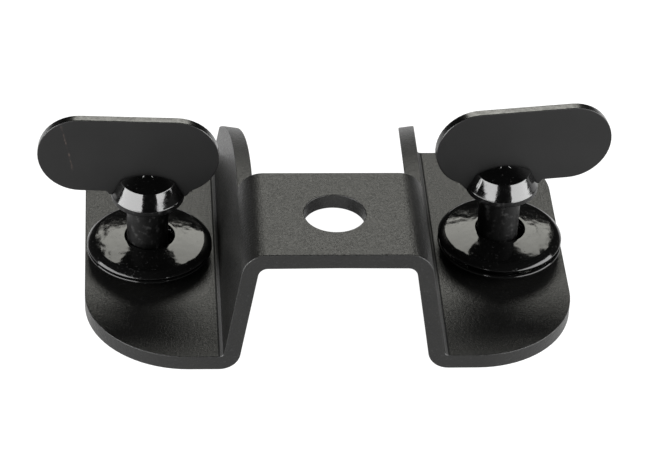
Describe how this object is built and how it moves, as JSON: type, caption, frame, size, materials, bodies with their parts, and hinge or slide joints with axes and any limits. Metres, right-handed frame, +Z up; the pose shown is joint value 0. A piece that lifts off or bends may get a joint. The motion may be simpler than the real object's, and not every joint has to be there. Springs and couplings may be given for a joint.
{
  "type": "omega mounting bracket with quarter-turn wing fasteners",
  "caption": "Bent sheet-steel omega bracket: a raised bridge with a clamp hole between D-shaped flanges, and a spring-loaded quarter-turn wing fastener on each flange.",
  "frame": {"origin": "midway between the two fasteners, at the height of the lower stud tip: the bottom centre of the whole part", "axes": "+X along the bracket from the left fastener to the right one, -Y towards the side that the bridge stands on, +Z up through the bridge"},
  "size_m": [0.1239, 0.0739, 0.0482],
  "materials": {
    "powder_coat": "fine-textured satin black powder coat",
    "gloss_black": "glossy black plating",
    "wing_black": "smooth semi-gloss black",
    "spring_steel": "drawn spring wire",
    "zinc_steel": "bright zinc plating"
  },
  "bodies": {
    "bracket": {"omega_bracket": "powder_coat", "left_base_dish": "gloss_black", "right_base_dish": "gloss_black", "left_cup_spring": "spring_steel", "right_cup_spring": "spring_steel"},
    "left_dome": {"left_dome_cup": "gloss_black"},
    "left_washer": {"left_keeper_washer": "zinc_steel"},
    "left_fastener": {"left_stud": "gloss_black", "left_wing_plate": "wing_black", "left_cross_pin": "zinc_steel"},
    "right_dome": {"right_dome_cup": "gloss_black"},
    "right_washer": {"right_keeper_washer": "zinc_steel"},
    "right_fastener": {"right_stud": "gloss_black", "right_wing_plate": "wing_black", "right_cross_pin": "zinc_steel"}
  },
  "joints": [
    {"name": "left_push", "type": "slide", "parent": "bracket", "child": "left_washer", "axis": [0, 0, -1], "range_m": [-0.0014, 0.0101]},
    {"name": "left_turn", "type": "hinge", "parent": "left_washer", "child": "left_fastener", "pos_m": [-0.0389, -0.0008, 0.0112], "axis": [0, 0, 1], "range_deg": [-87.4, 92.6]},
    {"name": "left_dome_press", "type": "slide", "parent": "bracket", "child": "left_dome", "axis": [0, 0, -1], "range_m": [0, 0.0004], "stiffness_N_per_m": 1500, "deforming": ["left_cup_spring"]},
    {"name": "right_push", "type": "slide", "parent": "bracket", "child": "right_washer", "axis": [0, 0, -1], "range_m": [0, 0.0107]},
    {"name": "right_turn", "type": "hinge", "parent": "right_washer", "child": "right_fastener", "pos_m": [0.03785, 0.0004, 0.0112], "axis": [0, 0, 1], "range_deg": [-97.6, 82.4]},
    {"name": "right_dome_press", "type": "slide", "parent": "bracket", "child": "right_dome", "axis": [0, 0, -1], "range_m": [0, 0.0012], "stiffness_N_per_m": 1500, "deforming": ["right_cup_spring"]}
  ]
}
